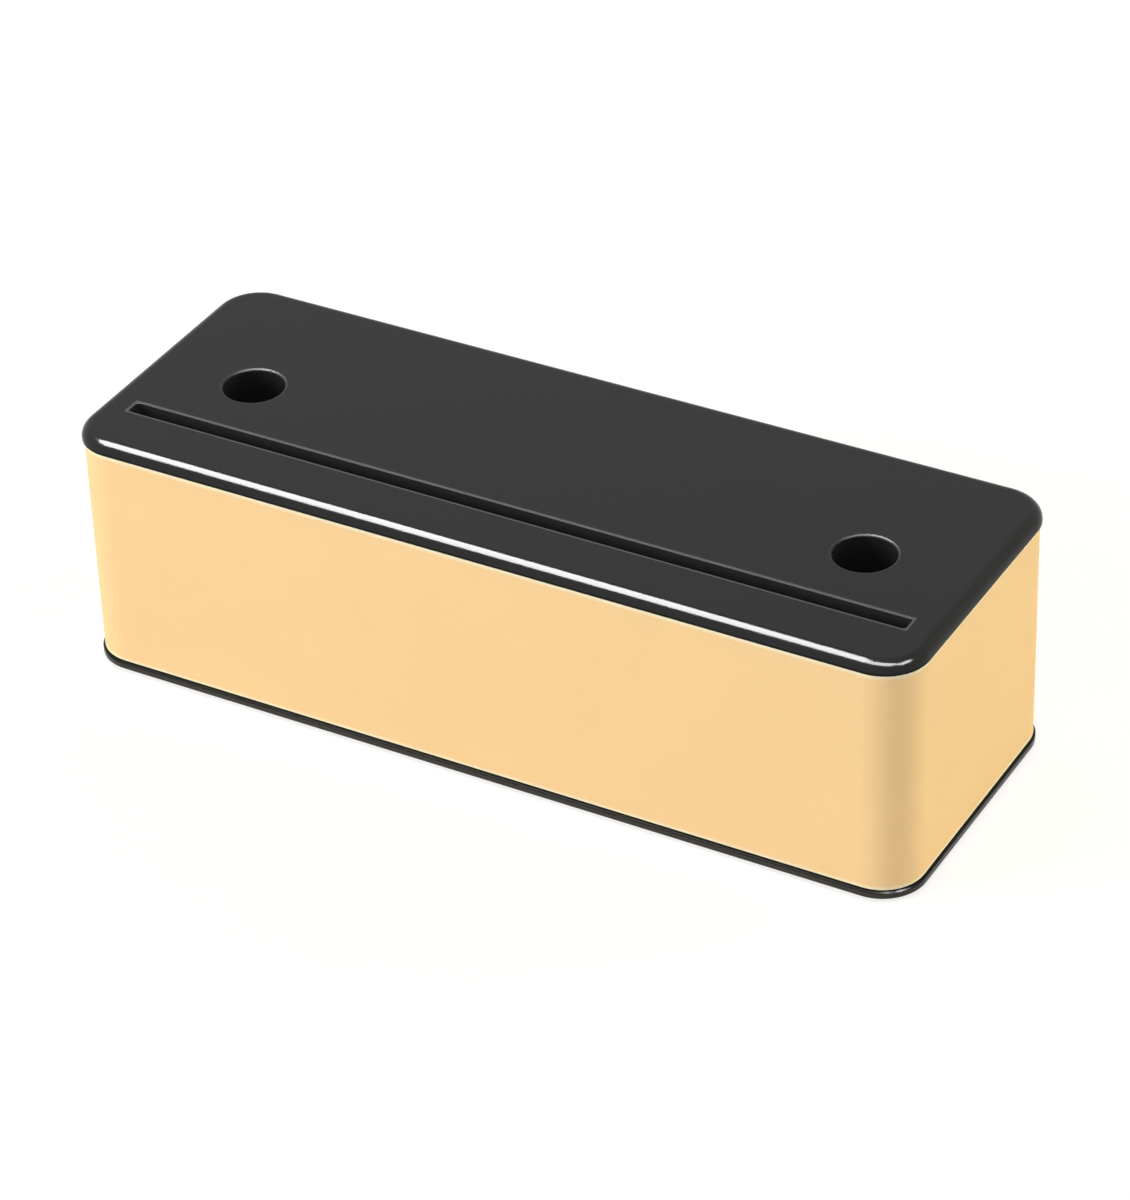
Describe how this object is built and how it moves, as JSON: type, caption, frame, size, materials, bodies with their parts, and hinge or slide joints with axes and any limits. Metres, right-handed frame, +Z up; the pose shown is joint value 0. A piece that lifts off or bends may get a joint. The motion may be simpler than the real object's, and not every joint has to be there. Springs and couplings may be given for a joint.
{
  "type": "furniture riser",
  "caption": "Long box-shaped furniture riser with a rounded cap, blind leg sockets, a narrow edge groove, a hollow ribbed body and a screwed base on rubber pads.",
  "frame": {"origin": "on the floor, under the middle of the riser", "axes": "+X along the length, +Z up; the edge groove is on the -Y side"},
  "size_m": [0.28, 0.101, 0.0825],
  "materials": {
    "cap_plastic": "fine satin moulded charcoal plastic",
    "body_plastic": "smooth satin tan plastic",
    "base_plastic": "satin moulded charcoal plastic",
    "pad_rubber": "soft black rubber",
    "screw_steel": "zinc-plated steel"
  },
  "bodies": {
    "root": {"top_cap": "cap_plastic", "riser_body": "body_plastic", "base_plate": "base_plastic", "foot_pad_left_front": "pad_rubber", "foot_pad_left_back": "pad_rubber", "foot_pad_right_front": "pad_rubber", "foot_pad_right_back": "pad_rubber", "cap_screws": "screw_steel", "base_screws": "screw_steel"}
  },
  "joints": []
}
